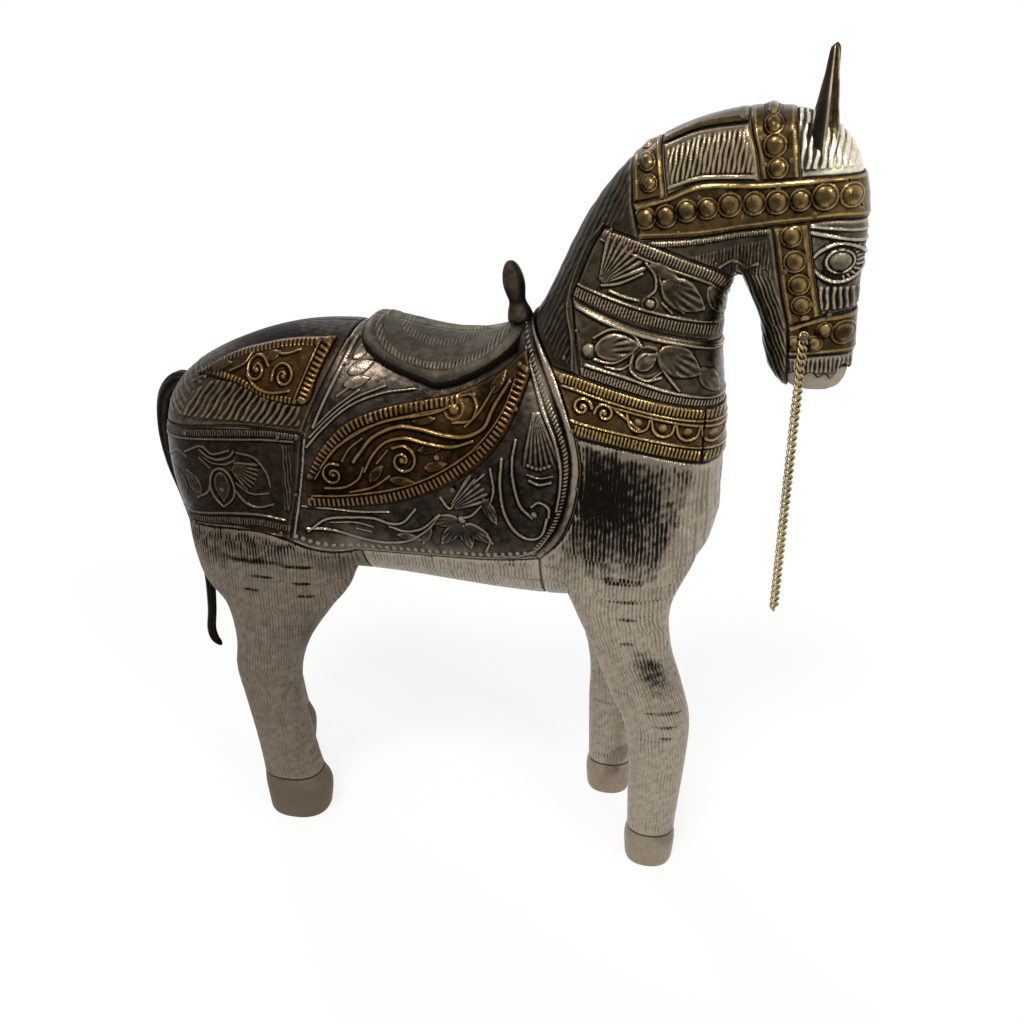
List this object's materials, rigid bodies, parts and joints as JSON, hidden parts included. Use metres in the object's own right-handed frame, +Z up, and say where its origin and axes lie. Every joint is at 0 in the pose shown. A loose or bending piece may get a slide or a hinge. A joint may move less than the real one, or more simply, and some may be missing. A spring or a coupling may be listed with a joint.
{
  "type": "carved horse figurine",
  "caption": "Standing carved wooden horse clad in hammered white metal and brass sheet, with saddle, cast tail, ears and a hanging curb chain.",
  "frame": {"origin": "on the floor under the middle of the horse's bounding box", "axes": "+X towards the nose, +Y towards the horse's left, +Z up"},
  "size_m": [0.245, 0.063, 0.2799],
  "materials": {
    "carved_wood": "bare carved hardwood",
    "white_metal": "hammered and chased, tarnished in the hollows",
    "brass_sheet": "embossed, old and brown in the hollows",
    "dark_bronze": "dark cast bronze",
    "gilt_chain": "worn gilt curb chain"
  },
  "bodies": {
    "horse": {"wooden_core": "carved_wood", "wooden_leg_fore_right": "carved_wood", "wooden_leg_hind_right": "carved_wood", "wooden_leg_fore_left": "carved_wood", "wooden_leg_hind_left": "carved_wood", "crown_plate_right": "white_metal", "nape_plate_right": "white_metal", "face_plate_right": "white_metal", "jaw_plate_right": "white_metal", "upper_neck_plate_right": "white_metal", "lower_neck_plate_right": "white_metal", "mane_plate_right": "white_metal", "shoulder_plate_right": "white_metal", "belly_plate_right": "white_metal", "haunch_plate_right": "white_metal", "thigh_band_right": "white_metal", "rump_plate_right": "white_metal", "saddle_cloth_right": "white_metal", "saddle_seat_right": "white_metal", "crown_plate_left": "white_metal", "nape_plate_left": "white_metal", "face_plate_left": "white_metal", "jaw_plate_left": "white_metal", "upper_neck_plate_left": "white_metal", "lower_neck_plate_left": "white_metal", "mane_plate_left": "white_metal", "shoulder_plate_left": "white_metal", "belly_plate_left": "white_metal", "haunch_plate_left": "white_metal", "thigh_band_left": "white_metal", "rump_plate_left": "white_metal", "saddle_cloth_left": "white_metal", "saddle_seat_left": "white_metal", "muzzle_plate": "white_metal", "hoof_cap_fore_right": "white_metal", "hoof_cap_hind_right": "white_metal", "hoof_cap_fore_left": "white_metal", "hoof_cap_hind_left": "white_metal", "cheek_strap_right": "brass_sheet", "saddle_leaf_right": "brass_sheet", "crupper_right": "brass_sheet", "breast_band_right": "brass_sheet", "cheek_strap_left": "brass_sheet", "saddle_leaf_left": "brass_sheet", "crupper_left": "brass_sheet", "breast_band_left": "brass_sheet", "brow_band": "brass_sheet", "nape_strap": "brass_sheet", "mane_strip": "brass_sheet", "poll_strap": "brass_sheet", "nose_band": "brass_sheet", "ear_right": "dark_bronze", "ear_left": "dark_bronze", "tail": "dark_bronze", "saddle_pommel": "dark_bronze", "bit_nail": "brass_sheet"},
    "chain_1": {"rein_chain_1": "gilt_chain"},
    "chain_2": {"rein_chain_2": "gilt_chain"},
    "chain_3": {"rein_chain_3": "gilt_chain"},
    "chain_4": {"rein_chain_4": "gilt_chain"}
  },
  "joints": [
    {"name": "chain_1_swing", "type": "hinge", "parent": "horse", "child": "chain_1", "pos_m": [0.1054, -0.01645, 0.1994], "axis": [0, 1, 0], "range_deg": [-60, 12]},
    {"name": "chain_2_swing", "type": "hinge", "parent": "chain_1", "child": "chain_2", "pos_m": [0.1054, -0.01645, 0.17655], "axis": [1, 0, 0], "range_deg": [-24, 24]},
    {"name": "chain_3_swing", "type": "hinge", "parent": "chain_2", "child": "chain_3", "pos_m": [0.1054, -0.01645, 0.15155], "axis": [0, -1, 0], "range_deg": [-10, 24]},
    {"name": "chain_4_swing", "type": "hinge", "parent": "chain_3", "child": "chain_4", "pos_m": [0.1054, -0.01645, 0.12875], "axis": [1, 0, 0], "range_deg": [-24, 24]}
  ]
}
